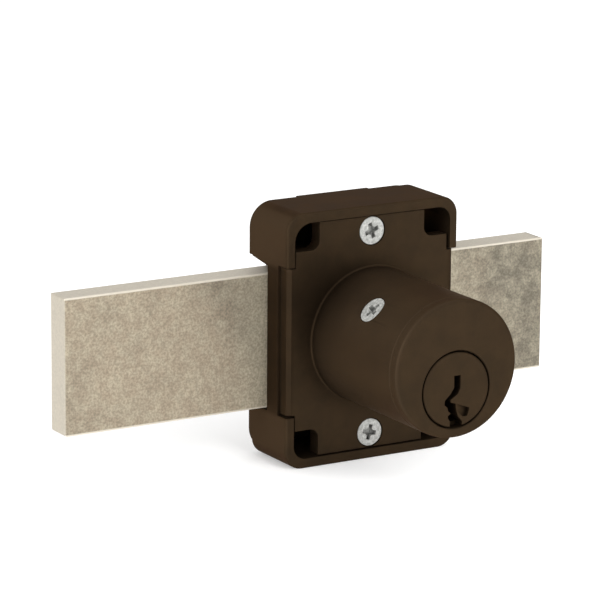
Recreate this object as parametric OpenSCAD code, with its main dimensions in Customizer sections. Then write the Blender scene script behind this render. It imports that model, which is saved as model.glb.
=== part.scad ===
// Surface-mounted cabinet deadbolt with a long flat bolt and a round pin tumbler nose.
// The front, where the key goes in, faces -Y. +X is right and +Z is up.
// The origin is on the nose's axis, in the plane of the case's front rim.

/* [Case] */
// Width of the case
case_w = 31.6; // [31:0.2:36]
// Height of the case
case_h = 41.5; // [41:0.1:46]
// How far the case's centre lies above the nose's axis
case_raise = 0.3; // [0.1:0.1:0.5]
// Thickness of the case's sides and of the hood walls beside the bolt
wall = 1.4; // [1.2:0.05:1.6]
// Thickness of the case's top and bottom
end_wall = 1.6; // [1.4:0.05:1.8]
// Thickness of the back wall
back_t = 1.2; // [1:0.1:2]
// Radius of the case's four outer corners
corner_r = 3; // [2.6:0.1:3.4]
// Rounding along the front edge of the rim
edge_round = 0.4; // [0.2:0.05:0.5]
// Radius of the corners inside the rim
inner_corner_r = 2.2; // [1.8:0.1:2.8]
// Radius of the upper left corner inside the rim
upper_left_r = 3; // [2.8:0.1:3]
// Height of the open side window between the two hoods
window_h = 24.4; // [23.8:0.1:24.6]
// How far the back wall is cut in from the case's sides between the hoods
back_inset = 3.3; // [1.5:0.1:4]
// Radius of the corners of these cuts
back_inset_r = 0.8; // [0.4:0.1:1.2]
// How far the edge of the back is stepped in
back_step = 0.25; // [0.1:0.05:0.4]
// Radius of the four corners of the stepped back
back_corner_r = 4; // [3.4:0.1:4.2]
// How far the upper edges of the bolt's side slots fall towards the front
slot_fall = 0.7; // [0.4:0.05:0.8]
// Width of the raised pad down the back
pad_w = 13.2; // [8:0.2:16]
// Height of the raised pad on the back
pad_t = 0.7; // [0.3:0.1:1.5]
// Distance of the mounting holes from the case's sides
hole_from_side = 3.6; // [3.5:0.05:3.9]
// Distance of the mounting holes from the case's top and bottom
hole_from_end = 3.65; // [3.6:0.05:4]
// Radius of a mounting hole
hole_r = 1.75; // [1.4:0.05:1.9]

/* [Cover] */
// How far the cover lies behind the rim
cover_recess = 0.4; // [0.35:0.05:0.6]
// Thickness of the cover plate
cover_t = 2.4; // [2.2:0.1:3]
// Width of the cover between its corner notches
tab_w = 19.4; // [19:0.2:20.4]
// Height of a corner notch, from the rim's inner edge
notch_h = 4.6; // [4.2:0.1:4.8]
// Radius of a notch's inner corner
notch_r = 1.5; // [0.8:0.1:1.9]
// Gap between the cover's sides and the rim
rim_gap = 0.4; // [0.2:0.05:0.6]
// Gap between the cover's top and bottom and the rim
end_gap = 0.2; // [0.1:0.05:0.4]
// Gap between the cover's side wings and the hoods
wing_gap = 0.3; // [0.1:0.05:0.4]
// How far the side wings are set in from the case's sides
wing_inset = 0.45; // [0.3:0.05:0.5]
// Chamfer along the front edge of a side wing
wing_chamfer = 0.6; // [0.3:0.05:0.8]
// Distance of the cover screws from the case's top and bottom
screw_from_end = 4.2; // [4:0.1:4.5]

/* [Nose] */
// Radius of the cylindrical nose
nose_r = 11; // [10.9:0.05:11.1]
// Length of the nose in front of the rim
nose_len = 24.7; // [24.3:0.1:32]
// Wall of the nose sleeve
nose_wall = 1.05; // [1:0.05:1.15]
// Fillet at the foot of the nose
nose_fillet = 0.3; // [0.2:0.05:0.3]
// Thickness of the core's front flange
head_t = 2; // [1.8:0.1:2.4]
// Rounding of the flange's front edge
head_round = 0.6; // [0.3:0.1:0.8]
// Chamfer where the nose meets the flange
seam_chamfer = 0.15; // [0.1:0.05:0.2]

/* [Plug] */
// How far the plug's axis lies below the nose's axis
plug_drop = 3.3; // [3.1:0.05:3.4]
// Radius of the plug's visible head
plug_head_r = 5.95; // [5.85:0.05:6.05]
// Length of the plug's head
plug_head_len = 1.8; // [1.4:0.1:2.2]
// Radius of the plug's body
plug_r = 5.5; // [5.4:0.05:5.55]
// Chamfer around the plug's face and its opening
face_chamfer = 0.15; // [0.1:0.05:0.25]
// Gap around the plug's head
head_gap = 0.25; // [0.15:0.01:0.28]
// Depth of the keyway
keyway_len = 23; // [22.5:0.1:23.6]

/* [Tumblers] */
// Distance from the nose's end to the first tumbler
first_pin = 5; // [4.8:0.1:5.4]
// Distance between tumblers
pin_pitch = 3.96; // [3.9:0.02:4]
// Radius of the key pins and driver pins
pin_r = 1.36; // [1.3:0.02:1.4]
// Length of the shortest key pin
key_pin_base = 3.4; // [3.2:0.1:3.5]
// Depth of the plug's pin chambers below the shear line
chamber_depth = 6; // [5.7:0.1:6.4]
// Difference in length between one key cut and the next
cut_step = 0.4; // [0.3:0.02:0.42]
// Length of the driver pins
driver_len = 3.3; // [3:0.1:3.5]
// Outer radius of a tumbler spring
spring_r = 1.2; // [1.1:0.05:1.25]
// Wire thickness of a tumbler spring
spring_wire = 0.3; // [0.25:0.05:0.4]
// Thickness of the strip that closes the chambers
cap_t = 0.6; // [0.5:0.05:0.65]

/* [Bolt] */
// Length of the bolt
bolt_len = 88.4; // [80:0.1:110]
// Height of the bolt
bolt_h = 22; // [21.8:0.1:22.2]
// How far the bolt's middle lies below the nose's axis
bolt_drop = 0.4; // [0.3:0.05:0.45]
// Thickness of the bolt
bolt_t = 4.8; // [4:0.1:5]
// How far the thrown end of the bolt lies left of the nose's axis
bolt_reach = 51.7; // [48:0.1:60]
// Travel of the bolt
throw = 12.7; // [12:0.1:12.8]

/* [Drive] */
// Thickness of the cam
cam_t = 1.7; // [1.6:0.1:2]
// Metal left around the drive pin in the cam
cam_rim = 0.25; // [0.2:0.05:0.3]
// Radius of the drive pin
drive_pin_r = 1.6; // [1.4:0.05:1.65]
// Radius of the plug's tail
tail_r = 3; // [2.8:0.1:3.2]
// Half the distance between the flats on the tail
tail_flat = 2.2; // [2:0.1:2.4]
// Height of the cam screw's head
cam_screw_head = 1.1; // [0.9:0.05:1.2]

/* [Screws] */
// Radius of a cover screw's head
screw_head_r = 2.25; // [2.1:0.05:2.5]
// Height of a countersunk head
screw_head_t = 1.5; // [1.3:0.1:1.6]
// Radius of the thread of every screw
screw_r = 1.25; // [1.1:0.05:1.4]
// Length of a cover screw below its head
screw_len = 6; // [5:0.5:6.5]
// Distance of the core screw from the nose's end
core_screw_from_end = 12.5; // [12:0.1:12.9]
// Length of the core screw below its head
core_screw_len = 2.2; // [1.8:0.1:2.6]
// Length of a cross recess, tip to tip
cross_len = 2.5; // [2.3:0.1:3]
// Width of a cross recess
cross_w = 0.7; // [0.5:0.05:0.8]
// Depth of a cross recess
cross_depth = 0.9; // [0.6:0.05:1]

/* [Clearances] */
// Radial clearance where a round piece turns or slides in a bore
turn_gap = 0.05; // [0.03:0.01:0.08]
// Clearance of the bolt in its guides
slide_gap = 0.1; // [0.05:0.05:0.15]
// Clearance around a piece that is fixed in its seat
seat_gap = 0.03; // [0.02:0.01:0.05]
// Gap between the core's back and the cam
cam_gap = 0.15; // [0.1:0.05:0.3]

/* [Hidden] */

$fn = 72;
pin_count = 5;
over = 1;
// How far the forms of one solid are sunk into each other
sink = 0.2;

bronze = [0.24, 0.19, 0.14];
zinc = [0.72, 0.69, 0.63];
silver = [0.82, 0.81, 0.79];
brass = [0.78, 0.63, 0.30];
steel = [0.55, 0.56, 0.57];

// Depths, from the front rim backwards
cover_front = cover_recess;
cover_back = cover_front + cover_t;
cam_front = cover_back + cam_gap;
cam_back = cam_front + cam_t;
head_room = 0.35;
wall_back = cam_back + cam_screw_head + head_room;
bolt_front = wall_back + slide_gap;
bolt_back = bolt_front + bolt_t;
back_in = bolt_back + slide_gap;
case_d = back_in + back_t;
step_d = 1.4;

// Heights, from the nose's axis
hood_top = case_raise + window_h / 2;
hood_bottom = case_raise - window_h / 2;
inner_w = case_w - 2 * wall;
inner_h = case_h - 2 * end_wall;
cover_w = inner_w - 2 * rim_gap;
cover_h = inner_h - 2 * end_gap;
shoulder_h = inner_h - 2 * notch_h;
wing_x = case_w / 2 - wing_inset;
guide_top = bolt_h / 2 - bolt_drop + slide_gap;
guide_bottom = -bolt_h / 2 - bolt_drop - slide_gap;
guide_w = case_w - 2 * back_inset - 2 * back_step;

// The nose, its core and the plug
nose_end = -nose_len;
head_back = nose_end + head_t;
bore_r = nose_r - nose_wall;
core_r = bore_r - seat_gap;
plug_z = -plug_drop;
plug_bore_r = plug_r + turn_gap;
head_bore_r = plug_head_r + head_gap;
face_inset = 0.05;
lead_slope = 14;
lead_left = -0.1;
plug_face = nose_end + face_inset;
plug_back = cover_back + seat_gap;

// Tumblers
chamber_r = pin_r + turn_gap;
shear = plug_z + plug_r;
tip_h = 0.7;
tip_r = 0.5;
crown_h = 0.2;
crown_r = 0.9;
crown_drop = 0.1;
chamber_floor = shear - chamber_depth;
driver_bottom = plug_z + plug_bore_r + 0.01;
driver_top = driver_bottom + driver_len;
cap_w = 2 * pin_r + 0.6;
cap_over = 0.15;
cap_top = sqrt(core_r * core_r - cap_w * cap_w / 4) - cap_over;
cap_bottom = cap_top - cap_t;
cap_front = nose_end + first_pin - chamber_r - 0.6;
cap_back = nose_end + first_pin + (pin_count - 1) * pin_pitch + chamber_r + 0.6;

// The crank that turns the plug's half turn into the bolt's travel
crank_r = throw / 2;
cam_r = crank_r + drive_pin_r + cam_rim;
// Widest difference between a crank's travel and a steady one over a half turn
lag_angle = asin(2 / PI);
crank_lag = crank_r * (lag_angle / 90 - 1 + cos(lag_angle));
slot_gap = 0.1;
slot_half_w = drive_pin_r + crank_lag + slot_gap;
slot_end_gap = 0.4;
slot_low = plug_z - drive_pin_r - slot_end_gap;
slot_high = plug_z + crank_r + drive_pin_r + slot_end_gap;
pin_end_gap = 0.3;
neck_r = drive_pin_r - 0.3;
cam_flat = tail_r + 1.6;
tail_hole = 4;

// Screws
screw_pilot_r = screw_r + seat_gap;
boss_wall = 1.6;
boss_r = screw_r + boss_wall;
seat_depth = 0.12;
seat_rim = 0.15;
cone_gap = 0.05;
upper_screw_z = case_raise + case_h / 2 - screw_from_end;
lower_screw_z = case_raise - case_h / 2 + screw_from_end;
core_screw_y = nose_end + core_screw_from_end;
core_screw_angle = 135;
head_rim = 0.2;
tip_room = 0.3;
drive_slot_w = 0.7;
drive_slot_depth = 0.5;
flat_depth = nose_r - sqrt(nose_r * nose_r - screw_head_r * screw_head_r);

// Height of a tumbler's cut above the shortest, from a fixed key code
function cut(i) = (2 * i + 1) % pin_count;
function key_pin_len(i) = key_pin_base + cut_step * cut(i);
function pin_y(i) = nose_end + first_pin + i * pin_pitch;

// Stands an outline drawn in X and Z between two depths
module along_y(from, to) {
    translate([0, to, 0])
        rotate([90, 0, 0])
            linear_extrude(to - from)
                children();
}

// Turns an outline of radius and depth about the Y axis
module turned() {
    rotate([-90, 0, 0])
        rotate_extrude()
            children();
}

// A round bar along Y
module rod(r, from, to, r_to = undef) {
    translate([0, from, 0])
        rotate([-90, 0, 0])
            cylinder(r1 = r, r2 = is_undef(r_to) ? r : r_to, h = to - from);
}

module rounded_rect(w, h, r) {
    square([w - 2 * r, h], center = true);
    square([w, h - 2 * r], center = true);
    for (x = [-1, 1], z = [-1, 1])
        translate([x * (w / 2 - r), z * (h / 2 - r)])
            circle(r);
}

module case_outline(inset) {
    translate([0, case_raise])
        rounded_rect(case_w - 2 * inset, case_h - 2 * inset, corner_r - inset);
}

// The case's outline along the stepped back
module back_outline() {
    translate([0, case_raise])
        rounded_rect(case_w - 2 * back_step, case_h - 2 * back_step, back_corner_r);
}

// Section of a block down to a depth, with its two front edges rounded
module rounded_section(half_w, to) {
    flat_half_w = half_w - edge_round;
    translate([-flat_half_w, 0])
        square([2 * flat_half_w, to]);
    translate([-half_w, edge_round])
        square([2 * half_w, to - edge_round]);
    for (side = [-1, 1])
        translate([side * flat_half_w, edge_round])
            circle(edge_round);
}

// The case's outline down to a depth, with its front edge rounded all round
module case_block(to) {
    flat_w = case_w - 2 * corner_r;
    flat_h = case_h - 2 * corner_r;
    translate([0, 0, case_raise]) {
        translate([0, 0, -flat_h / 2])
            linear_extrude(flat_h)
                rounded_section(case_w / 2, to);
        rotate([0, 90, 0])
            translate([0, 0, -flat_w / 2])
                linear_extrude(flat_w)
                    rounded_section(case_h / 2, to);
        for (x = [-1, 1], z = [-1, 1])
            translate([x * flat_w / 2, 0, z * flat_h / 2])
                turned()
                    intersection() {
                        rounded_section(corner_r, to);
                        square([corner_r, to]);
                    }
    }
}

module rim_outline() {
    translate([0, case_raise])
        difference() {
            rounded_rect(inner_w, inner_h, inner_corner_r);
            // Larger upper left corner
            translate([upper_left_r - inner_w / 2, inner_h / 2 - upper_left_r])
                difference() {
                    translate([-upper_left_r - over, 0])
                        square(upper_left_r + over);
                    circle(upper_left_r);
                }
        }
}

// A band across the case between two heights
module band(low, high, half_w = 50) {
    translate([-half_w, low])
        square([2 * half_w, high - low]);
}

// Where the two screws that hold the cover stand
module at_cover_screws() {
    for (z = [lower_screw_z, upper_screw_z])
        translate([0, 0, z])
            children();
}

// A countersunk screw along +Y with its face at y = 0
module flat_screw(head_r, len, turn) {
    difference() {
        union() {
            rod(head_r, 0, head_rim);
            rod(head_r, head_rim, screw_head_t, screw_r);
            rod(screw_r, screw_head_t, screw_head_t + len);
        }
        rotate([0, turn, 0])
            cross_recess();
    }
}

module cross_recess() {
    for (a = [0, 90])
        rotate([0, a, 0])
            translate([-cross_len / 2, -over, -cross_w / 2])
                cube([cross_len, cross_depth + over, cross_w]);
    rod(cross_w, -over, cross_depth + 0.2);
}

// The seat of a countersunk screw, sunk below the face at y = 0
module flat_seat(head_r, deep) {
    rod(head_r + seat_rim, -over, seat_depth + head_rim + cone_gap);
    translate([0, seat_depth, 0])
        rod(head_r + 2 * cone_gap, head_rim, screw_head_t + cone_gap, screw_pilot_r);
    rod(screw_pilot_r, 0, deep);
}

// Turns +Y so that it points from the nose's flank to its axis
module at_core_screw(out) {
    translate([0, core_screw_y, 0])
        rotate([0, -core_screw_angle, 0])
            translate([out, 0, 0])
                rotate([0, 0, 90])
                    children();
}

module core_screw_cone() {
    rod(screw_head_r + 2 * cone_gap, head_rim, screw_head_t + cone_gap, screw_pilot_r);
}

// The slots through both of the case's sides for the bolt, open to the back
module side_slots() {
    rotate([90, 0, 90])
        translate([0, 0, -case_w])
            linear_extrude(2 * case_w)
                polygon([
                    [wall_back, hood_bottom],
                    [wall_back, hood_top - slot_fall],
                    [back_in, hood_top],
                    [back_in + over, hood_top],
                    [back_in + over, hood_bottom]
                ]);
}

module case_shell() {
    // Back wall, cut in on both sides between the hoods
    along_y(back_in, case_d)
        difference() {
            back_outline();
            for (side = [-1, 1])
                translate([side * case_w / 2, case_raise])
                    rounded_rect(2 * back_inset, window_h, back_inset_r);
        }
    // Two hoods, the upper and the lower, and the side walls between them
    difference() {
        union() {
            case_block(case_d - step_d);
            along_y(case_d - step_d - sink, back_in + sink)
                back_outline();
        }
        side_slots();
        // Windows for the cover's side wings, and the room behind them
        along_y(-over, cover_back)
            band(hood_bottom, hood_top);
        along_y(-over, back_in + over)
            band(hood_bottom, hood_top, inner_w / 2);
        // Recess for the cover
        along_y(-over, cover_back)
            rim_outline();
        // Hollow of each hood, closed towards the bolt by a wall
        along_y(-over, back_in)
            difference() {
                rim_outline();
                band(hood_bottom - wall, hood_top + wall);
            }
    }
}

module case_guides() {
    for (side = [-1, 1])
        along_y(bolt_front, back_in + sink)
            band(
                side > 0 ? guide_top : hood_bottom - wall / 2,
                side > 0 ? hood_top + wall / 2 : guide_bottom,
                guide_w / 2
            );
}

module case() {
    color(bronze)
        difference() {
            union() {
                case_shell();
                case_guides();
                intersection() {
                    at_cover_screws()
                        rod(boss_r, cover_back, case_d - back_t / 2);
                    along_y(0, case_d)
                        case_outline(wall / 2);
                }
                along_y(case_d - back_t / 2, case_d + pad_t)
                    intersection() {
                        back_outline();
                        square([pad_w, 2 * case_h], center = true);
                    }
            }
            at_cover_screws()
                rod(screw_pilot_r, cover_back - over, cover_front + screw_head_t + screw_len + tip_room);
            for (x = [-1, 1], z = [-1, 1])
                translate([
                    x * (case_w / 2 - hole_from_side),
                    0,
                    case_raise + z * (case_h / 2 - hole_from_end)
                ])
                    rod(hole_r, back_in - over, case_d + over);
        }
}

module cover_outline() {
    band(hood_bottom + wing_gap, hood_top - wing_gap, wing_x);
    translate([0, case_raise]) {
        square([cover_w, shoulder_h], center = true);
        square([tab_w, cover_h], center = true);
        // Rounded inner corner of each notch
        for (x = [-1, 1], z = [-1, 1])
            translate([x * tab_w / 2, z * shoulder_h / 2])
                scale([x, z])
                    difference() {
                        translate([-sink, -sink])
                            square(notch_r + sink);
                        translate([notch_r, notch_r])
                            circle(notch_r);
                    }
    }
}

module nose_sleeve() {
    turned()
        polygon([
            [bore_r, head_back],
            [nose_r - seam_chamfer, head_back],
            [nose_r, head_back + seam_chamfer],
            [nose_r, cover_back - sink],
            [bore_r, cover_back - sink]
        ]);
    // Fillet at the nose's foot, with a hair of a step at each end
    step = 0.04;
    turned()
        difference() {
            translate([nose_r - 0.5, cover_front - nose_fillet - step])
                square([0.5 + nose_fillet + step, nose_fillet + step + 0.3]);
            translate([nose_r + nose_fillet + step, cover_front - nose_fillet - step])
                circle(nose_fillet);
        }
}

module cover() {
    color(bronze)
        difference() {
            union() {
                along_y(cover_front, cover_back)
                    cover_outline();
                nose_sleeve();
            }
            rod(bore_r, nose_end - over, cover_back + over);
            // Chamfers along the front edges of the side wings
            for (side = [-1, 1])
                translate([side * wing_x, cover_front, case_raise])
                    rotate([0, 0, 45])
                        cube([wing_chamfer * sqrt(2), wing_chamfer * sqrt(2), case_h], center = true);
            at_cover_screws()
                translate([0, cover_front, 0])
                    flat_seat(screw_head_r, cover_t + over);
            at_core_screw(nose_r - flat_depth) {
                rod(screw_head_r + 2 * cone_gap, -over, head_rim + cone_gap);
                core_screw_cone();
            }
        }
}

module cover_screw(z, turn) {
    color(silver)
        translate([0, cover_front + seat_depth, z])
            flat_screw(screw_head_r, screw_len, turn);
}

module core_body() {
    rod(core_r, head_back - sink, cover_back);
    // Front flange with a rounded edge
    turned() {
        translate([0, nose_end])
            square([nose_r - head_round, head_t]);
        translate([0, nose_end + head_round])
            square([nose_r, head_t - head_round - seam_chamfer]);
        translate([nose_r - head_round, nose_end + head_round])
            circle(head_round);
        polygon([
            [bore_r, head_back - seam_chamfer - sink],
            [nose_r, head_back - seam_chamfer - sink],
            [nose_r, head_back - seam_chamfer],
            [nose_r - seam_chamfer, head_back],
            [bore_r, head_back]
        ]);
    }
}

module core() {
    color(bronze)
        difference() {
            core_body();
            translate([0, 0, plug_z]) {
                rod(plug_bore_r, nose_end - over, cover_back + over);
                rod(head_bore_r, nose_end - over, plug_face + plug_head_len + turn_gap);
                rod(head_bore_r + face_chamfer + over, nose_end - over, nose_end + face_chamfer, head_bore_r);
            }
            for (i = [0:pin_count - 1])
                translate([0, pin_y(i), plug_z])
                    cylinder(r = chamber_r, h = cap_bottom - plug_z + sink);
            // Slot for the strip that closes the chambers
            translate([-cap_w / 2 - seat_gap, cap_front - seat_gap, cap_bottom - seat_gap])
                cube([cap_w + 2 * seat_gap, cap_back - cap_front + 2 * seat_gap, core_r]);
            at_core_screw(nose_r - flat_depth) {
                core_screw_cone();
                rod(screw_pilot_r, 0, screw_head_t + core_screw_len + tip_room);
            }
        }
}

module core_screw() {
    color(silver)
        at_core_screw(nose_r - flat_depth)
            flat_screw(screw_head_r, core_screw_len, 20);
}

module chamber_cap() {
    color(brass)
        translate([-cap_w / 2, cap_front, cap_bottom])
            cube([cap_w, cap_back - cap_front, cap_t]);
}

// The keyway, drawn from the plug's axis: down the right side, then up the left
module keyway_outline() {
    bottom = -plug_head_r - over;
    polygon([
        [0.75, 2.25],
        [0.75, 0.15],
        [0.3, -0.7],
        [-1, -1.5],
        [-1, -1.9],
        [-0.1, -2.2],
        [0.1, -3.4],
        [0.4, -4.3],
        [1.15, -5.15],
        [1.15, bottom],
        [-1.1, bottom],
        [-1.1, -4.9],
        [-1.45, -4.4],
        [-1.45, -4],
        [-0.95, -3.65],
        [-1.4, -3.3],
        [-1.6, -2.6],
        [-2.1, -2.25],
        [-2.05, -1.5],
        [-1, -0.55],
        [-0.4, 0.35],
        [-0.4, 2.25]
    ]);
}

// Sloping recess beside the keyway that leads the key in
module key_lead() {
    intersection() {
        along_y(-over, plug_head_len)
            polygon([[lead_left, -2.2], [2.45, -3.15], [2.4, -3.6], [2.1, -4.4], [1.3, -4.45], [lead_left, -3.1]]);
        // Its floor slopes inwards to the right
        translate([lead_left, 0, -plug_r])
            rotate([0, 0, lead_slope])
                translate([-over, -plug_r, 0])
                    cube(plug_r);
    }
}

module plug() {
    color(bronze)
        translate([0, 0, plug_z])
            difference() {
                union() {
                    rod(plug_r, plug_face + face_chamfer, plug_back);
                    rod(plug_head_r, plug_face + face_chamfer, plug_face + plug_head_len);
                    rod(plug_head_r - face_chamfer, plug_face, plug_face + face_chamfer, plug_head_r);
                    // Tail with two flats that carries the cam
                    intersection() {
                        rod(tail_r, plug_back - over, cam_back - seat_gap);
                        translate([-tail_flat, plug_back - 2 * over, -tail_r])
                            cube([2 * tail_flat, cam_back + 2 * over, 2 * tail_r]);
                    }
                }
                along_y(plug_face - over, plug_face + keyway_len)
                    keyway_outline();
                translate([0, plug_face, 0])
                    key_lead();
                for (i = [0:pin_count - 1])
                    translate([0, pin_y(i), chamber_floor - plug_z])
                        cylinder(r = chamber_r, h = plug_r - chamber_floor + plug_z + over);
                rod(screw_pilot_r, cam_back - tail_hole, cam_back + over);
            }
}

// A key pin whose crown stays inside the plug, so that the plug can turn
module key_pin(i) {
    crown = shear - crown_drop;
    len = key_pin_len(i);
    color(brass)
        translate([0, pin_y(i), crown - len]) {
            cylinder(r1 = tip_r, r2 = pin_r, h = tip_h);
            translate([0, 0, tip_h])
                cylinder(r = pin_r, h = len - tip_h - crown_h);
            translate([0, 0, len - crown_h])
                cylinder(r1 = pin_r, r2 = crown_r, h = crown_h);
        }
}

module driver_pin(i) {
    color(brass)
        translate([0, pin_y(i), driver_bottom])
            cylinder(r = pin_r, h = driver_len);
}

// A coil spring at its working length, drawn as its closed tube of wire
module pin_spring(i) {
    color(steel)
        translate([0, pin_y(i), driver_top + seat_gap])
            difference() {
                cylinder(r = spring_r, h = cap_bottom - driver_top - 2 * seat_gap);
                translate([0, 0, -over])
                    cylinder(r = spring_r - spring_wire, h = cap_bottom - driver_top + 2 * over);
            }
}

module cam() {
    color(steel)
        translate([0, 0, plug_z])
            difference() {
                rod(cam_r, cam_front, cam_back);
                // The side away from the drive pin's sweep is cut off straight
                translate([-cam_r - over, cam_front - over, -cam_flat - cam_r])
                    cube([2 * cam_r + 2 * over, cam_t + 2 * over, cam_r]);
                intersection() {
                    rod(tail_r + seat_gap, cam_front - over, cam_back + over);
                    translate([-tail_flat - seat_gap, cam_front - 2 * over, -cam_r])
                        cube([2 * (tail_flat + seat_gap), cam_t + 4 * over, 2 * cam_r]);
                }
                translate([-crank_r, 0, 0])
                    rod(neck_r + seat_gap, cam_front - over, cam_back + over);
            }
}

// The eccentric pin is riveted in the cam by a thinner neck
module drive_pin() {
    color(steel)
        translate([-crank_r, 0, plug_z]) {
            rod(neck_r, cam_front, cam_back + 2 * seat_gap);
            rod(drive_pin_r, cam_back + seat_gap, back_in - pin_end_gap);
        }
}

module cam_screw() {
    color(silver)
        translate([0, 0, plug_z])
            difference() {
                union() {
                    rod(tail_r, cam_back + seat_gap, cam_back + cam_screw_head);
                    rod(screw_r, cam_back - tail_hole + tip_room, cam_back + 2 * seat_gap);
                }
                translate([-tail_r - over, cam_back + cam_screw_head - drive_slot_depth, -drive_slot_w / 2])
                    cube([2 * tail_r + 2 * over, over, drive_slot_w]);
            }
}

module bolt() {
    color(zinc)
        difference() {
            translate([-bolt_reach, bolt_front, -bolt_h / 2 - bolt_drop])
                cube([bolt_len, bolt_t, bolt_h]);
            // Upright slot for the drive pin
            translate([-crank_r - slot_half_w, bolt_front - over, slot_low])
                cube([2 * slot_half_w, bolt_t + 2 * over, slot_high - slot_low]);
        }
}

case();
cover();
cover_screw(upper_screw_z, 71);  // cover_screw_upper
cover_screw(lower_screw_z, 13);  // cover_screw_lower
core();
core_screw();
chamber_cap();
plug();
for (i = [0:pin_count - 1]) {
    key_pin(i);
    driver_pin(i);
    pin_spring(i);
}
cam();
drive_pin();
cam_screw();
bolt();
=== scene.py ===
"""Cabinet deadbolt lock: the finishes and softened edges of its pieces, its stage and its camera."""

import math

import bmesh
import bpy
from bpy.props import FloatProperty, FloatVectorProperty, PointerProperty
from mathutils import Matrix, Vector


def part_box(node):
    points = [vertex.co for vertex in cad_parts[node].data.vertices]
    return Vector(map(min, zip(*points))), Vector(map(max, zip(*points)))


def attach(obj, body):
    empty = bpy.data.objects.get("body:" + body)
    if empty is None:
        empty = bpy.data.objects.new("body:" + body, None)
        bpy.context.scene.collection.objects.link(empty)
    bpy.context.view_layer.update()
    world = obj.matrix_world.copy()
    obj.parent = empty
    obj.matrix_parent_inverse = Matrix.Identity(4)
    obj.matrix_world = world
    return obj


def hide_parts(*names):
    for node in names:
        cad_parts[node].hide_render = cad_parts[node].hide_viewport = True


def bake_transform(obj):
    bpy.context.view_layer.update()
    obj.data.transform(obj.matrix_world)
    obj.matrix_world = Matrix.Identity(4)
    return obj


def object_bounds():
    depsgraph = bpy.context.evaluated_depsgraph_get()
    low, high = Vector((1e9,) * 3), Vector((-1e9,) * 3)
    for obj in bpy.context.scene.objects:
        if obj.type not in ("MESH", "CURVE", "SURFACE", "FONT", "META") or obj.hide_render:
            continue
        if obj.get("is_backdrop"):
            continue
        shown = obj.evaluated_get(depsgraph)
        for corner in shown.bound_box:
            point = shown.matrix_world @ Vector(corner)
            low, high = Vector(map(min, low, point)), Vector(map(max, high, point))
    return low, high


bl_info = {
    "name": "Cabinet deadbolt lock",
    "version": (1, 0, 0),
    "blender": (4, 5, 0),
    "location": "3D View > Sidebar > Lock",
    "description": "Finishes, softened edges, stage and camera of a cabinet deadbolt lock",
    "category": "Object",
}

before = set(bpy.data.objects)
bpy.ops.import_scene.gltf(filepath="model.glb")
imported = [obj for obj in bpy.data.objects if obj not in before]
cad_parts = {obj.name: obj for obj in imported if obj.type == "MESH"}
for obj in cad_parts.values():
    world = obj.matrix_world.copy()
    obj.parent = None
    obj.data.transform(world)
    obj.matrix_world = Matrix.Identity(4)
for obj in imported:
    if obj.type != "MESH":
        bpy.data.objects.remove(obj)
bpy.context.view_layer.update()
MM = 0.001
TUMBLERS = range(1, 6)

# In the CAD copies, doubles nearer than this are merged, faces flatter than this are joined, edges
# sharper than this are rounded, and areas that differ by less than this count alike in the shading
MERGE_DISTANCE = 0.002 * MM
FLAT_ANGLE = math.radians(0.6)
SHARP_ANGLE = math.radians(35)
SAME_AREA = 0.01 * MM ** 2

# Where the castings' painted light and shade begins and is full. X and Z are measured from the nose's
# axis, and Y from the plane of the rims, which the nose stands out of
SIDES_X = (14.2 * MM, 14.8 * MM)
HOODS_Z = (11.6 * MM, 12.4 * MM)
INSIDE_Y = (0.2 * MM, 0.8 * MM)
OUTSIDE_Y = (-0.2 * MM, -0.8 * MM)
FLANK_RADIUS = (10.5 * MM, 10.9 * MM)

# The centre of the painted shade beside the nose's foot, and the distances from it where the painted
# shade begins to fade and has faded
FOOT_SHADE_CENTRE = (-10 * MM, 0, 7 * MM)
FOOT_SHADE_ENDS = (3 * MM, 9 * MM)

# How fresh the bolt's plating is along the bar, with painted shade towards the case and the right end,
# as place in mm and share of the warm colour, how far a place moves along the bar per unit of height,
# and where painted light brightens the bar beside the case's slots
PLATING_AND_SHADE = (
    (-60, 0.7), (-46, 0.95), (-26, 1), (-21.5, 0.65), (-19, 0.5), (-17, 0.45),
    (12, 0.45), (18, 0.75), (24, 0.4), (28, 0.25), (31, 0.05), (34, 0),
)
PLATING_AND_SHADE_LEAN = 0.55
SLOT_LIGHT_X = (22.5 * MM, 15.5 * MM)

# Each lamp's name, place, aim and size in metres, and the setting that holds its power
LAMPS = (
    ("key_light", (0.25, -0.35, 0.5), (0, 0, 0), 0.6, "key_power"),
    ("fill_light", (-0.6, -0.1, 0.25), (0, 0, 0), 0.6, "fill_power"),
    ("floor_light", (0.16, -0.58, 0.21), (0, 0, -0.02), 0.5, "floor_power"),
)


# Colours, nodes and edges


def linear(colour):
    """An sRGB hex colour as linear red, green and blue."""
    channels = [int(colour[i:i + 2], 16) / 255 for i in (1, 3, 5)]
    return [c / 12.92 if c <= 0.04045 else ((c + 0.055) / 1.055) ** 2.4 for c in channels]


def colour_property(name, description, default):
    """A colour setting whose default is an sRGB hex colour."""
    return FloatVectorProperty(
        name=name, description=description, default=linear(default),
        subtype="COLOR", size=3, min=0, max=1,
    )


def length_property(name, description, default_mm):
    """A length setting whose default is in millimetres."""
    return FloatProperty(
        name=name, description=description, default=default_mm * MM,
        min=0, unit="LENGTH", subtype="DISTANCE", precision=5,
    )


def add_node(tree, kind, inputs=None, **settings):
    """Adds a node; an input is a value, or a socket that is linked to it."""
    node = tree.nodes.new(kind)
    for key, value in settings.items():
        setattr(node, key, value)
    for key, value in (inputs or {}).items():
        socket = node.inputs[key]
        if isinstance(value, bpy.types.NodeSocket):
            tree.links.new(value, socket)
        else:
            socket.default_value = (*value, 1) if socket.type == "RGBA" and len(value) == 3 else value
    return node


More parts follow.
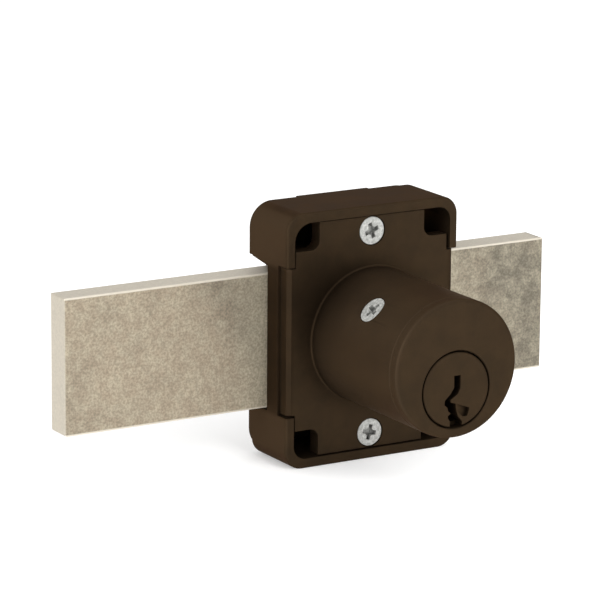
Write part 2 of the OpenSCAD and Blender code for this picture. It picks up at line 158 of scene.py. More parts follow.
def new_finish(name):
    """An empty material with its output node, and the piece's own coordinates in metres."""
    material = bpy.data.materials.new(name)
    material.use_nodes = True
    tree = material.node_tree
    tree.nodes.clear()
    output = add_node(tree, "ShaderNodeOutputMaterial")
    place = add_node(tree, "ShaderNodeTexCoord").outputs["Object"]
    return material, tree, output, place


def soften(name, width, body, finish, segments=2):
    """Stands a merged copy with rounded edges for the CAD node, which keeps its own mesh."""
    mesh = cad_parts[name].data.copy()
    mesh.name = name + "_soft"
    form = bmesh.new()
    form.from_mesh(mesh)
    bmesh.ops.remove_doubles(form, verts=form.verts, dist=MERGE_DISTANCE)
    bmesh.ops.dissolve_limit(
        form, angle_limit=FLAT_ANGLE, use_dissolve_boundaries=False,
        verts=form.verts, edges=form.edges, delimit=set(),
    )
    form.to_mesh(mesh)
    form.free()
    mesh.materials.clear()
    mesh.materials.append(finish)
    mesh.shade_smooth()
    piece = bpy.data.objects.new(name + "_soft", mesh)
    bpy.context.scene.collection.objects.link(piece)
    bevel = piece.modifiers.new("Rounded edges", "BEVEL")
    bevel.width = width
    bevel.segments = segments
    bevel.limit_method = "ANGLE"
    bevel.angle_limit = SHARP_ANGLE
    bevel.use_clamp_overlap = True
    bevel.miter_outer = "MITER_ARC"
    # Large faces keep their own direction, so that no shade runs across them from the rounded edges
    shading = piece.modifiers.new("Even shading", "WEIGHTED_NORMAL")
    shading.mode = "FACE_AREA"
    shading.weight = 100
    shading.thresh = SAME_AREA
    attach(piece, body)
    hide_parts(name)
    return piece


def wind_spring(name, wire_radius, pitch, finish):
    """Stands a coil of round wire for the CAD node."""
    steps_per_turn = 16
    wire_sides = 8
    low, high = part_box(name)
    centre = ((low[0] + high[0]) / 2, (low[1] + high[1]) / 2, 0)
    rise = high[2] - low[2] - 2 * wire_radius
    turns = round(rise / pitch)
    steps = steps_per_turn * turns
    form = bmesh.new()
    start = Vector((high[0] - wire_radius, centre[1], low[2] + wire_radius))
    bmesh.ops.create_circle(
        form, segments=wire_sides, radius=wire_radius,
        matrix=Matrix.Translation(start) @ Matrix.Rotation(math.radians(90), 4, "X"),
    )
    bmesh.ops.spin(
        form, geom=form.verts[:] + form.edges[:], cent=centre, axis=(0, 0, 1),
        dvec=(0, 0, rise / steps), angle=math.tau * turns, steps=steps,
    )
    bmesh.ops.holes_fill(form, edges=[edge for edge in form.edges if edge.is_boundary], sides=0)
    bmesh.ops.recalc_face_normals(form, faces=form.faces)
    mesh = bpy.data.meshes.new(name + "_coil")
    form.to_mesh(mesh)
    form.free()
    mesh.materials.append(finish)
    mesh.shade_smooth()
    piece = bpy.data.objects.new(name + "_coil", mesh)
    bpy.context.scene.collection.objects.link(piece)
    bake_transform(piece)
    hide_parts(name)
    return piece


def dress(name, finish):
    """Gives a CAD node its finish and leaves its mesh as it is."""
    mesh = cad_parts[name].data
    mesh.materials.clear()
    mesh.materials.append(finish)


# Finishes


def paint_casting_light_and_shade(tree, place, shade, corners, finishes):
    """The castings' painted light and shade: painted light on the hoods' sides and the nose's flank, and
    painted shade on the sides between the hoods and beside the nose's foot. Gives the shade and how much
    of it stays clear of painted shade, between 0 and 1."""
    side_shade = 0.4
    foot_shade = 0.6
    flank_light = 0.6
    along = add_node(tree, "ShaderNodeSeparateXYZ", {"Vector": place})
    across = add_node(tree, "ShaderNodeMath", {0: along.outputs["X"]}, operation="ABSOLUTE")
    side = add_node(tree, "ShaderNodeMapRange", {
        "Value": across.outputs[0], "From Min": SIDES_X[0], "From Max": SIDES_X[1],
    })
    upright = add_node(tree, "ShaderNodeMath", {0: along.outputs["Z"]}, operation="ABSOLUTE")
    hood = add_node(tree, "ShaderNodeMapRange", {
        "Value": upright.outputs[0], "From Min": HOODS_Z[0], "From Max": HOODS_Z[1],
    })
    # Painted shade on the sides between the hoods and on the plate beside the nose's foot
    between = add_node(tree, "ShaderNodeMapRange", {
        "Value": hood.outputs["Result"], "To Min": side_shade, "To Max": 0,
    })
    between = add_node(tree, "ShaderNodeMath", {
        0: side.outputs["Result"], 1: between.outputs["Result"],
    }, operation="MULTIPLY")
    near_foot = add_node(tree, "ShaderNodeVectorMath", {0: place, 1: FOOT_SHADE_CENTRE}, operation="DISTANCE")
    near_foot = add_node(tree, "ShaderNodeMapRange", {
        "Value": near_foot.outputs["Value"], "From Min": FOOT_SHADE_ENDS[0], "From Max": FOOT_SHADE_ENDS[1],
        "To Min": foot_shade, "To Max": 0,
    })
    painted_shelter_shade = add_node(tree, "ShaderNodeMath", {
        0: between.outputs[0], 1: near_foot.outputs["Result"],
    }, operation="MAXIMUM")
    # What stays clear of painted shade, both in the corners and in the places above
    unshaded_share = add_node(tree, "ShaderNodeMath", {
        0: corners, 1: painted_shelter_shade.outputs[0],
    }, operation="SUBTRACT", use_clamp=True)
    # Painted light, strongest on the hoods' sides and a little less on the nose's flank
    inside = add_node(tree, "ShaderNodeMapRange", {
        "Value": along.outputs["Y"], "From Min": INSIDE_Y[0], "From Max": INSIDE_Y[1],
    })
    hood_side = add_node(tree, "ShaderNodeMath", {
        0: side.outputs["Result"], 1: hood.outputs["Result"],
    }, operation="MULTIPLY")
    hood_side = add_node(tree, "ShaderNodeMath", {
        0: hood_side.outputs[0], 1: inside.outputs["Result"],
    }, operation="MULTIPLY")
    radius = add_node(tree, "ShaderNodeVectorMath", {0: place, 1: (1, 0, 1)}, operation="MULTIPLY")
    radius = add_node(tree, "ShaderNodeVectorMath", {0: radius.outputs["Vector"]}, operation="LENGTH")
    round_side = add_node(tree, "ShaderNodeMapRange", {
        "Value": radius.outputs["Value"], "From Min": FLANK_RADIUS[0], "From Max": FLANK_RADIUS[1],
        "To Max": flank_light,
    })
    outside = add_node(tree, "ShaderNodeMapRange", {
        "Value": along.outputs["Y"], "From Min": OUTSIDE_Y[0], "From Max": OUTSIDE_Y[1],
    })
    flank = add_node(tree, "ShaderNodeMath", {
        0: round_side.outputs["Result"], 1: outside.outputs["Result"],
    }, operation="MULTIPLY")
    painted_side_light = add_node(tree, "ShaderNodeMath", {
        0: hood_side.outputs[0], 1: flank.outputs[0],
    }, operation="MAXIMUM")
    # Painted light on the hoods' sides and the nose's flank
    shade = add_node(tree, "ShaderNodeMix", {
        "Factor": painted_side_light.outputs[0], "A": shade, "B": finishes.bronze_painted_light,
    }, data_type="RGBA")
    return shade.outputs["Result"], unshaded_share.outputs[0]


def oil_rubbed_bronze(finishes, name="oil_rubbed_bronze_on_zinc_casting", turned_face=None):
    """Zinc die casting, plated, darkened and rubbed with oil under matt lacquer: an even dark brown with
    faint clouds of 4 mm, whose lacquer keeps the sheen low and brown also at a low angle. Painted shade
    darkens the corners, and on a turned piece what lies behind its face."""
    material, tree, output, place = new_finish(name)
    cloud = add_node(tree, "ShaderNodeTexNoise", {
        "Vector": place, "Scale": 1 / (4 * MM), "Detail": 4, "Roughness": 0.6,
    })
    # The lacquer's own texture is finer than the picture shows, so it is drawn at 0.45 mm
    skin = add_node(tree, "ShaderNodeTexNoise", {
        "Vector": place, "Scale": 1 / (0.45 * MM), "Detail": 2, "Roughness": 0.5,
    })
    patch = add_node(tree, "ShaderNodeMapRange", {
        "Value": cloud.outputs["Fac"], "From Min": 0.36, "From Max": 0.64,
    })
    shade = add_node(tree, "ShaderNodeMix", {
        "Factor": patch.outputs["Result"], "A": finishes.bronze_dark, "B": finishes.bronze_light,
    }, data_type="RGBA").outputs["Result"]
    # Painted shade: the corners darken with how much of the piece closes round them within 3.5 mm
    corners = add_node(tree, "ShaderNodeAmbientOcclusion", {
        "Distance": 3.5 * MM,
    }, samples=8, only_local=True).outputs["AO"]
    if turned_face is None:
        shade, unshaded_share = paint_casting_light_and_shade(tree, place, shade, corners, finishes)
    else:
        # Painted shade on what lies behind the turned face, deeper the further back it lies
        along = add_node(tree, "ShaderNodeSeparateXYZ", {"Vector": place})
        front = add_node(tree, "ShaderNodeMapRange", {
            "Value": along.outputs["Y"],
            "From Min": turned_face + 0.1 * MM, "From Max": turned_face + 0.6 * MM,
            "To Min": 1, "To Max": 0,
        })
        unshaded_share = add_node(tree, "ShaderNodeMath", {
            0: corners, 1: front.outputs["Result"],
        }, operation="MULTIPLY").outputs[0]
    # Painted shade: the corner colour takes over where little is kept clear of it
    tone = add_node(tree, "ShaderNodeMix", {
        "Factor": unshaded_share, "A": finishes.bronze_painted_shade, "B": shade,
    }, data_type="RGBA")
    sheen = add_node(tree, "ShaderNodeMapRange", {
        "Value": cloud.outputs["Fac"], "From Min": 0.3, "From Max": 0.7, "To Min": 0.48, "To Max": 0.54,
    })
    relief = add_node(tree, "ShaderNodeBump", {
        "Height": skin.outputs["Fac"], "Strength": 0.1, "Distance": 0.02 * MM,
    })
    # The sheen's tint is light enough that the metal's reflection doesn't drop to nothing at any angle
    surface = add_node(tree, "ShaderNodeBsdfPrincipled", {
        "Base Color": tone.outputs["Result"], "Metallic": 0.6, "Roughness": sheen.outputs["Result"],
        "Specular IOR Level": 0.01, "Specular Tint": finishes.bronze_sheen,
        "Normal": relief.outputs["Normal"],
    })
    tree.links.new(surface.outputs["BSDF"], output.inputs["Surface"])
    return material


def plating_light_and_shade(tree, place, finishes):
    """The plating's colour: warm where it is fresh and greenish where it is dull, with painted shade that
    darkens it towards the case and the right end, with clouds of 7 mm and stains of 2.2 mm, and with
    painted light beside the case's slots."""
    cloud = add_node(tree, "ShaderNodeTexNoise", {
        "Vector": place, "Scale": 1 / (7 * MM), "Detail": 4, "Roughness": 0.6,
    })
    stain = add_node(tree, "ShaderNodeTexNoise", {
        "Vector": place, "Scale": 1 / (2.2 * MM), "Detail": 5, "Roughness": 0.7,
    })
    # The dulling and the painted shade run slantwise across the bar
    slant = add_node(tree, "ShaderNodeVectorMath", {
        0: place, 1: (1, 0, PLATING_AND_SHADE_LEAN),
    }, operation="DOT_PRODUCT")
    left, right = PLATING_AND_SHADE[0][0], PLATING_AND_SHADE[-1][0]
    reach = add_node(tree, "ShaderNodeMapRange", {
        "Value": slant.outputs["Value"], "From Min": left * MM, "From Max": right * MM,
    })
    # The plating's dulling together with painted shade along the bar
    plating_and_shade_ramp = add_node(tree, "ShaderNodeValToRGB", {"Fac": reach.outputs["Result"]})
    stops = plating_and_shade_ramp.color_ramp.elements
    for place_mm, share in PLATING_AND_SHADE[1:-1]:
        stops.new((place_mm - left) / (right - left)).color = (share, share, share, 1)
    for stop, (_, share) in ((stops[0], PLATING_AND_SHADE[0]), (stops[-1], PLATING_AND_SHADE[-1])):
        stop.color = (share, share, share, 1)
    drift = add_node(tree, "ShaderNodeMapRange", {
        "Value": cloud.outputs["Fac"], "From Min": 0.3, "From Max": 0.7, "To Min": -0.22, "To Max": 0.22,
    })
    plating = add_node(tree, "ShaderNodeMath", {
        0: plating_and_shade_ramp.outputs["Color"], 1: drift.outputs["Result"],
    }, operation="ADD", use_clamp=True)
    ground = add_node(tree, "ShaderNodeMix", {
        "Factor": plating.outputs[0], "A": finishes.zinc_green, "B": finishes.zinc_warm,
    }, data_type="RGBA")
    spot = add_node(tree, "ShaderNodeMapRange", {
        "Value": stain.outputs["Fac"], "From Min": 0.42, "From Max": 0.62,
        "To Min": 0, "To Max": 0.4,
    })
    mottled = add_node(tree, "ShaderNodeMix", {
        "Factor": spot.outputs["Result"], "A": ground.outputs["Result"], "B": finishes.zinc_pale,
    }, data_type="RGBA")
    # Painted light on the bar beside the case's slots
    along = add_node(tree, "ShaderNodeSeparateXYZ", {"Vector": place})
    across = add_node(tree, "ShaderNodeMath", {0: along.outputs["X"]}, operation="ABSOLUTE")
    painted_slot_light = add_node(tree, "ShaderNodeMapRange", {
        "Value": across.outputs[0], "From Min": SLOT_LIGHT_X[0], "From Max": SLOT_LIGHT_X[1], "To Max": 0.7,
    })
    mottled = add_node(tree, "ShaderNodeMix", {
        "Factor": painted_slot_light.outputs["Result"], "A": mottled.outputs["Result"], "B": finishes.zinc_pale,
    }, data_type="RGBA")
    return mottled.outputs["Result"]


def paint_edge_light(tree, place, face, grain, finishes):
    """The bar's edges, over the colour of its faces: painted light, pale under a weak speckle, on the
    sheared top, bottom and end faces, and a painted highlight on the roundings of the two long front
    edges."""
    along = add_node(tree, "ShaderNodeSeparateXYZ", {"Vector": place})
    low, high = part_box("bolt")
    half_depth = (high[1] - low[1]) / 2
    half_height = (high[2] - low[2]) / 2
    # Painted light on the sheared edges, which lie between the bar's two flat faces
    depth = add_node(tree, "ShaderNodeMath", {
        0: along.outputs["Y"], 1: (low[1] + high[1]) / 2,
    }, operation="SUBTRACT")
    depth = add_node(tree, "ShaderNodeMath", {0: depth.outputs[0]}, operation="ABSOLUTE")
    lit_sheared_faces = add_node(tree, "ShaderNodeMapRange", {
        "Value": depth.outputs[0],
        "From Min": half_depth - 0.04 * MM, "From Max": half_depth - 0.2 * MM,
    })
    # No painted light on the right end's edge, which is as dull as the face beside it
    unlit_right_end = add_node(tree, "ShaderNodeMapRange", {
        "Value": along.outputs["X"], "From Min": high[0] - 0.8 * MM, "From Max": high[0] - 0.4 * MM,
        "To Min": 1, "To Max": 0,
    })
    lit_sheared_faces = add_node(tree, "ShaderNodeMath", {
        0: lit_sheared_faces.outputs["Result"], 1: unlit_right_end.outputs["Result"],
    }, operation="MULTIPLY")
    pale = add_node(tree, "ShaderNodeMix", {
        "Factor": 0.3, "A": finishes.zinc_painted_light, "B": grain,
    }, data_type="RGBA", blend_type="MULTIPLY")
    colour = add_node(tree, "ShaderNodeMix", {
        "Factor": lit_sheared_faces.outputs[0], "A": face, "B": pale.outputs["Result"],
    }, data_type="RGBA")
    # A painted highlight on the roundings of the long front edges, which lie near the front and near the
    # top or bottom, both at once
    highlight_from, highlight_to = 0.34 * MM, 0.22 * MM
    near_front = add_node(tree, "ShaderNodeMapRange", {
        "Value": along.outputs["Y"], "From Min": low[1] + highlight_from, "From Max": low[1] + highlight_to,
    })
    height = add_node(tree, "ShaderNodeMath", {
        0: along.outputs["Z"], 1: (low[2] + high[2]) / 2,
    }, operation="SUBTRACT")
    height = add_node(tree, "ShaderNodeMath", {0: height.outputs[0]}, operation="ABSOLUTE")
    near_top = add_node(tree, "ShaderNodeMapRange", {
        "Value": height.outputs[0],
        "From Min": half_height - highlight_from, "From Max": half_height - highlight_to,
    })
    bright = add_node(tree, "ShaderNodeMath", {
        0: near_front.outputs["Result"], 1: near_top.outputs["Result"],
    }, operation="MULTIPLY")
    colour = add_node(tree, "ShaderNodeMix", {
        "Factor": bright.outputs[0], "A": colour.outputs["Result"], "B": finishes.zinc_painted_highlight,
    }, data_type="RGBA")
    return colour.outputs["Result"]


def zinc_plate(finishes):
    """Rolled steel bar with dull zinc plating: pale beige grey with a fine speckle and faint clouds,
    greener and duller towards the case and the right end, where painted shade also darkens it, and with
    painted light that makes its sheared edges paler and smooth."""
    material, tree, output, place = new_finish("dull_zinc_plate_on_rolled_steel")
    # The plating's crystals are too fine to show, so their speckle is drawn at 0.36 mm
    speckle = add_node(tree, "ShaderNodeTexNoise", {
        "Vector": place, "Scale": 1 / (0.36 * MM), "Detail": 2, "Roughness": 0.6,
    })
    grain = add_node(tree, "ShaderNodeMapRange", {
        "Value": speckle.outputs["Fac"], "From Min": 0.35, "From Max": 0.65,
        "To Min": 0.77, "To Max": 1.18,
    })
    face = add_node(tree, "ShaderNodeMix", {
        "Factor": 1.0, "A": plating_light_and_shade(tree, place, finishes), "B": grain.outputs["Result"],
    }, data_type="RGBA", blend_type="MULTIPLY")
    colour = paint_edge_light(tree, place, face.outputs["Result"], grain.outputs["Result"], finishes)
    relief = add_node(tree, "ShaderNodeBump", {
        "Height": speckle.outputs["Fac"], "Strength": 0.15, "Distance": 0.02 * MM,
    })
    surface = add_node(tree, "ShaderNodeBsdfPrincipled", {
        "Base Color": colour, "Metallic": 0.6, "Roughness": 0.55, "Normal": relief.outputs["Normal"],
    })
    tree.links.new(surface.outputs["BSDF"], output.inputs["Surface"])
    return material


def bright_zinc(finishes):
    """Cold-headed steel screw with bright zinc plating: silver, faintly cloudy, with painted shade in its
    recess. The clouds are smaller than the picture shows, so they are drawn at 0.45 mm."""
    material, tree, output, place = new_finish("bright_zinc_plate_on_screw_steel")
    cloud = add_node(tree, "ShaderNodeTexNoise", {
        "Vector": place, "Scale": 1 / (0.45 * MM), "Detail": 3, "Roughness": 0.7,
    })
    spangle = add_node(tree, "ShaderNodeMapRange", {
        "Value": cloud.outputs["Fac"], "From Min": 0.35, "From Max": 0.65,
    })
    shade = add_node(tree, "ShaderNodeMix", {
        "Factor": spangle.outputs["Result"], "A": finishes.screw_dark, "B": finishes.screw_light,
    }, data_type="RGBA")
    # Painted shade in the screw's recess
    recess = add_node(tree, "ShaderNodeAmbientOcclusion", {
        "Distance": 0.9 * MM,
    }, samples=8, only_local=True)
    tone = add_node(tree, "ShaderNodeMix", {
        "Factor": recess.outputs["AO"], "A": finishes.screw_painted_shade, "B": shade.outputs["Result"],
    }, data_type="RGBA")
    gloss = add_node(tree, "ShaderNodeMapRange", {
        "Value": cloud.outputs["Fac"], "From Min": 0.3, "From Max": 0.7, "To Min": 0.42, "To Max": 0.52,
    })
    relief = add_node(tree, "ShaderNodeBump", {
        "Height": cloud.outputs["Fac"], "Strength": 0.15, "Distance": 0.02 * MM,
    })
    surface = add_node(tree, "ShaderNodeBsdfPrincipled", {
        "Base Color": tone.outputs["Result"], "Metallic": 0.5, "Roughness": gloss.outputs["Result"],
        "Normal": relief.outputs["Normal"],
    })
    tree.links.new(surface.outputs["BSDF"], output.inputs["Surface"])
    return material


def bare_metal(name, dark, light, rough, grain_mm):
    """Turned, drawn or ground metal without plating: a bright surface with a faint mottle of lighter and
    darker metal. The marks of the tool are finer than the picture shows, so the mottle is coarser."""
    material, tree, output, place = new_finish(name)
    mottle = add_node(tree, "ShaderNodeTexNoise", {
        "Vector": place, "Scale": 1 / (grain_mm * MM), "Detail": 2, "Roughness": 0.5,
    })
    shade = add_node(tree, "ShaderNodeMix", {
        "Factor": mottle.outputs["Fac"], "A": dark, "B": light,
    }, data_type="RGBA")
    surface = add_node(tree, "ShaderNodeBsdfPrincipled", {
        "Base Color": shade.outputs["Result"], "Metallic": 1.0, "Roughness": rough,
    })
    tree.links.new(surface.outputs["BSDF"], output.inputs["Surface"])
    return material


# Sizes, colours and stage


class LockEdges(bpy.types.PropertyGroup):
    """How far the edges of the pieces are rounded."""

    casting: length_property("Casting edges", "Rounding of the case's and cover's edges", 0.15)
    turning: length_property("Core edges", "Rounding of the core's and plug's edges", 0.08)
    bolt: length_property("Bolt edges", "Rounding of the bolt's edges", 0.3)
    screw: length_property("Screw edges", "Rounding of the screw heads' edges", 0.1)


class LockSprings(bpy.types.PropertyGroup):
    """The springs over the driver pins."""

    wire: length_property("Wire", "Diameter of the spring wire", 0.3)
    pitch: length_property("Pitch", "Height of one turn of the coil at rest", 0.55)


class LockFinishes(bpy.types.PropertyGroup):
    """The colours of the finishes."""

    bronze_dark: colour_property("Bronze, dark", "Darker parts of the bronze finish", "#392e22")
    bronze_light: colour_property("Bronze, light", "Lighter parts of the bronze finish", "#403325")
    # Painted shade for the corners, the sheltered places and what lies behind the turned face
    bronze_painted_shade: colour_property("Bronze, corners", "Corners that the rubbing misses", "#281f16")
    # Painted light on the hoods' sides and the nose's flank
    bronze_painted_light: colour_property(
        "Bronze, handled", "The hoods' sides and the nose's flank, rubbed lightest", "#44372a",
    )
    bronze_sheen: colour_property("Bronze, sheen", "Tint of the bronze's sheen at a low angle", "#ac9f8d")
    # Also the colour of the painted shade towards the case and the right end
    zinc_green: colour_property("Zinc, green", "Greenish parts of the bolt's plating", "#817a6b")
    zinc_warm: colour_property("Zinc, warm", "Warm parts of the bolt's plating", "#ab9d88")
    zinc_pale: colour_property("Zinc, pale", "Pale parts of the bolt's plating", "#c6bda6")
    # Painted light on the bolt's top, bottom and end faces
    zinc_painted_light: colour_property("Zinc, edges", "The bolt's sheared edges", "#c1b9aa")
    # A painted highlight on the roundings of the bolt's long front edges
    zinc_painted_highlight: colour_property("Zinc, rubbed", "The roundings of the bolt's long edges", "#e4dccc")
    # Painted shade in the screws' recesses
    screw_painted_shade: colour_property("Screw, recess", "Plating in the screws' recesses", "#3c3c3b")
    screw_dark: colour_property("Screw, dark", "Darker parts of the screws' plating", "#a9aaa5")
    screw_light: colour_property("Screw, light", "Lighter parts of the screws' plating", "#d9d9d5")
    brass_dark: colour_property("Brass, dark", "Darker parts of the pins' brass", "#a8853f")
    brass_light: colour_property("Brass, light", "Lighter parts of the pins' brass", "#c4a254")
    wire_dark: colour_property("Wire, dark", "Darker parts of the spring wire", "#7c7d7e")
    wire_light: colour_property("Wire, light", "Lighter parts of the spring wire", "#a4a5a6")
    steel_dark: colour_property("Steel, dark", "Darker parts of the cam and drive pin", "#77787a")
    steel_light: colour_property("Steel, light", "Lighter parts of the cam and drive pin", "#96979a")


class LockStage(bpy.types.PropertyGroup):
    """The floor, the light and the camera."""

    floor: colour_property("Floor", "Colour of the floor in the light that it throws back", "#cccccc")
    floor_shaded: colour_property(
        "Floor, shaded", "How much of its light and shade the floor shows", "#e6e6e6",
    )
    glow: FloatProperty(
        name="Floor's glow", description="White that the floor shows beside its light",
        default=0.3, min=0,
    )
    floor_power: FloatProperty(
        name="Floor light", description="Power in watts of the light that falls on the floor alone",
        default=6.5, min=0,
    )
    key_power: FloatProperty(
        name="Key light", description="Power of the key light in watts", default=0.3, min=0,
    )
    fill_power: FloatProperty(
        name="Fill light", description="Power of the fill light in watts", default=2.0, min=0,
    )
    sky: FloatProperty(
        name="Sky", description="Strength of the light from all round", default=0.85, min=0,
    )
    azimuth: FloatProperty(
        name="Azimuth", description="Turn of the camera about the upright, from the front",
        default=math.radians(-30.74), subtype="ANGLE",
    )
    elevation: FloatProperty(
        name="Elevation", description="Height angle of the camera",
        default=math.radians(13.74), subtype="ANGLE",
    )
    roll: FloatProperty(
        name="Roll", description="Roll of the camera", default=math.radians(0.42), subtype="ANGLE",
    )
    distance: length_property("Distance", "Distance of the camera from the lock", 599.3)
    lens: FloatProperty(
        name="Lens", description="Focal length in mm on a 36 mm wide frame", default=225.9, min=1,
    )
    aim_left: length_property("Aim left", "How far left of the nose's axis the camera looks", 11.52)
    aim_up: length_property("Aim up", "How far above the nose's axis the camera looks", 5.49)


# Pieces


class LOCK_OT_castings(bpy.types.Operator):
    """Finishes the cast case, the cover with its nose, the core and the plug"""

    bl_idname = "lock.castings"
    bl_label = "Case, cover, core and plug"

    def execute(self, context):
        edges = context.scene.lock_edges
        finishes = context.scene.lock_finishes
        bronze = oil_rubbed_bronze(finishes)
        for name, width in (("case", edges.casting), ("cover", edges.casting), ("core", edges.turning)):
            soften(name, width, "lock_body", bronze)
        plug_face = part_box("plug")[0][1]
        turned = oil_rubbed_bronze(finishes, "oil_rubbed_bronze_on_turned_plug", plug_face)
        soften("plug", edges.turning, "plug", turned)
        return {"FINISHED"}


class LOCK_OT_screws(bpy.types.Operator):
    """Finishes the two cover screws, the core screw and the cam screw"""

    bl_idname = "lock.screws"
    bl_label = "Screws"

    def execute(self, context):
        zinc = bright_zinc(context.scene.lock_finishes)
        width = context.scene.lock_edges.screw
        for name in ("cover_screw_upper", "cover_screw_lower", "core_screw"):
            soften(name, width, "lock_body", zinc)
        dress("cam_screw", zinc)
        return {"FINISHED"}


class LOCK_OT_bolt(bpy.types.Operator):
    """Finishes the long flat bolt"""

    bl_idname = "lock.bolt"
    bl_label = "Bolt"

    def execute(self, context):
        zinc = zinc_plate(context.scene.lock_finishes)
        bolt = soften("bolt", context.scene.lock_edges.bolt, "bolt", zinc, segments=3)
        return {"FINISHED"}


class LOCK_OT_tumblers(bpy.types.Operator):
    """Finishes the pins, their springs and the strip that closes their chambers"""

    bl_idname = "lock.tumblers"
    bl_label = "Tumblers"

    def execute(self, context):
        springs = context.scene.lock_springs
        finishes = context.scene.lock_finishes
        # Brass cut on a lathe is warm and bright, and wire drawn through a die is grey and smooth
        brass = bare_metal(
            "turned_brass", finishes.brass_dark, finishes.brass_light, rough=0.32, grain_mm=0.3,
        )
        wire = bare_metal(
            "drawn_spring_steel", finishes.wire_dark, finishes.wire_light, rough=0.3, grain_mm=0.3,
        )
        for i in TUMBLERS:
            dress(f"key_pin_{i}", brass)
            dress(f"driver_pin_{i}", brass)
            spring = wind_spring(
                f"pin_spring_{i}", springs.wire / 2, springs.pitch, wire,
            )
        dress("chamber_cap", brass)
        return {"FINISHED"}


class LOCK_OT_drive(bpy.types.Operator):
    """Finishes the cam on the plug's tail and its drive pin"""

    bl_idname = "lock.drive"
    bl_label = "Cam and drive pin"

    def execute(self, context):
        finishes = context.scene.lock_finishes
        # Steel ground flat is grey and a little duller than the wire
        steel = bare_metal(
            "ground_steel", finishes.steel_dark, finishes.steel_light, rough=0.38, grain_mm=0.4,
        )
        dress("cam", steel)
        dress("drive_pin", steel)
        return {"FINISHED"}


# Stage


def seen_rays(tree):
    """1 where the camera sees the spot itself, in a reflection or through glass, and 0 elsewhere."""
    rays = add_node(tree, "ShaderNodeLightPath").outputs
    seen = rays["Is Camera Ray"]
    for kind in ("Is Glossy Ray", "Is Transmission Ray"):
        seen = add_node(tree, "ShaderNodeMath", {0: seen, 1: rays[kind]}, operation="MAXIMUM").outputs[0]
    return seen


def lay_floor(settings):
    """A plain pale floor that shows white and keeps the lock's shadow at its foot: matt white board,
    without sheen or grain. Its sizes are in metres."""
    half_side = 1.5
    behind = 0.5
    low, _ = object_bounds()
    form = bmesh.new()
    bmesh.ops.create_grid(form, x_segments=1, y_segments=1, size=half_side)
    bmesh.ops.translate(form, verts=form.verts, vec=(0, behind, low[2]))
    mesh = bpy.data.meshes.new("floor")
    form.to_mesh(mesh)
    form.free()
    floor = bpy.data.objects.new("floor", mesh)
    bpy.context.scene.collection.objects.link(floor)
    material, tree, output, _ = new_finish("matt_white_board")
    matt = add_node(tree, "ShaderNodeBsdfDiffuse", {"Color": settings.floor})
    shaded = add_node(tree, "ShaderNodeBsdfDiffuse", {"Color": settings.floor_shaded})
    glow = add_node(tree, "ShaderNodeEmission", {"Color": (1, 1, 1), "Strength": settings.glow})
    lit = add_node(tree, "ShaderNodeAddShader", {0: shaded.outputs[0], 1: glow.outputs[0]})
    shown = add_node(tree, "ShaderNodeMixShader", {
        0: seen_rays(tree), 1: matt.outputs[0], 2: lit.outputs[0],
    })
    tree.links.new(shown.outputs[0], output.inputs["Surface"])
    mesh.materials.append(material)
    floor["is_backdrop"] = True
    return floor


def light_room(settings):
    """A white background, and light of a plain level from all round."""
    world = bpy.data.worlds.new("white_room")
    world.use_nodes = True
    tree = world.node_tree
    tree.nodes.clear()
    strength = add_node(tree, "ShaderNodeMapRange", {
        "Value": seen_rays(tree), "To Min": settings.sky, "To Max": 1.0,
    })
    back = add_node(tree, "ShaderNodeBackground", {
        "Color": (1, 1, 1), "Strength": strength.outputs["Result"],
    })
    output = add_node(tree, "ShaderNodeOutputWorld")
    tree.links.new(back.outputs[0], output.inputs["Surface"])
    bpy.context.scene.world = world


def hang_lamp(name, place, aim, size, power):
    """A square lamp at a place, turned to what it aims at."""
    data = bpy.data.lights.new(name, "AREA")
    data.shape = "SQUARE"
    data.size = size
    data.energy = power
    lamp = bpy.data.objects.new(name, data)
    bpy.context.scene.collection.objects.link(lamp)
    place, aim = Vector(place), Vector(aim)
    turn = (place - aim).to_track_quat("Z", "Y").to_matrix().to_4x4()
    lamp.matrix_world = Matrix.Translation(place) @ turn
    return lamp


def set_camera(settings):
    """The camera stands where the photograph's perspective puts it."""
    azimuth, elevation, roll = settings.azimuth, settings.elevation, settings.roll
    back = Vector((
        math.sin(azimuth) * math.cos(elevation),
        -math.cos(azimuth) * math.cos(elevation),
        math.sin(elevation),
    ))
    level = Vector((math.cos(azimuth), math.sin(azimuth), 0))
    upright = back.cross(level)
    right = math.cos(roll) * level + math.sin(roll) * upright
    up = math.cos(roll) * upright - math.sin(roll) * level
    aim = settings.aim_up * up - settings.aim_left * right
    data = bpy.data.cameras.new("camera")
    data.sensor_width = 36
    data.lens = settings.lens
    data.clip_start = 0.01
    camera = bpy.data.objects.new("camera", data)
    bpy.context.scene.collection.objects.link(camera)
    turn = Matrix((right, up, back)).transposed().to_4x4()
    camera.matrix_world = Matrix.Translation(aim + settings.distance * back) @ turn
    bpy.context.scene.camera = camera


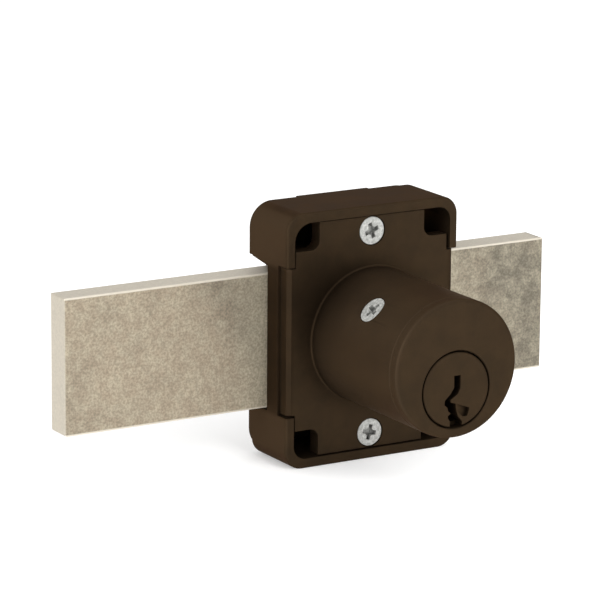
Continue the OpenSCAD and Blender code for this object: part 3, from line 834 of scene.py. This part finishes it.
class LOCK_OT_stage(bpy.types.Operator):
    """Lays the floor, sets the lights and places the camera"""

    bl_idname = "lock.stage"
    bl_label = "Stage"

    def execute(self, context):
        settings = context.scene.lock_stage
        floor = lay_floor(settings)
        light_room(settings)
        lamps = {
            name: hang_lamp(name, place, aim, size, getattr(settings, power))
            for name, place, aim, size, power in LAMPS
        }
        lit = bpy.data.collections.new("floor_only")
        lit.objects.link(floor)
        lamps["floor_light"].light_linking.receiver_collection = lit
        set_camera(settings)
        context.scene.view_settings.view_transform = "Standard"
        return {"FINISHED"}


# Panel and start


class LOCK_PT_panel(bpy.types.Panel):
    """Sizes, colours and steps of the cabinet deadbolt lock"""

    bl_idname = "LOCK_PT_panel"
    bl_label = "Cabinet deadbolt lock"
    bl_space_type = "VIEW_3D"
    bl_region_type = "UI"
    bl_category = "Lock"

    def draw(self, context):
        layout = self.layout
        for group, label in (
            ("lock_edges", "Edges"), ("lock_springs", "Springs"),
            ("lock_finishes", "Finishes"), ("lock_stage", "Stage"),
        ):
            box = layout.box()
            box.label(text=label)
            settings = getattr(context.scene, group)
            for name in settings.__annotations__:
                box.prop(settings, name)
        for piece in PIECES:
            layout.operator(piece.bl_idname)


PIECES = (LOCK_OT_castings, LOCK_OT_screws, LOCK_OT_bolt, LOCK_OT_tumblers, LOCK_OT_drive, LOCK_OT_stage)
GROUPS = {
    "lock_edges": LockEdges, "lock_springs": LockSprings,
    "lock_finishes": LockFinishes, "lock_stage": LockStage,
}


def register():
    for cls in (*GROUPS.values(), *PIECES, LOCK_PT_panel):
        bpy.utils.register_class(cls)
    for name, group in GROUPS.items():
        setattr(bpy.types.Scene, name, PointerProperty(type=group))


def unregister():
    for name in GROUPS:
        delattr(bpy.types.Scene, name)
    for cls in (LOCK_PT_panel, *reversed(PIECES), *reversed(GROUPS.values())):
        bpy.utils.unregister_class(cls)


def main():
    register()
    bpy.ops.lock.castings()
    bpy.ops.lock.screws()
    bpy.ops.lock.bolt()
    bpy.ops.lock.tumblers()
    bpy.ops.lock.drive()
    bpy.ops.lock.stage()


if __name__ == "__main__":
    main()
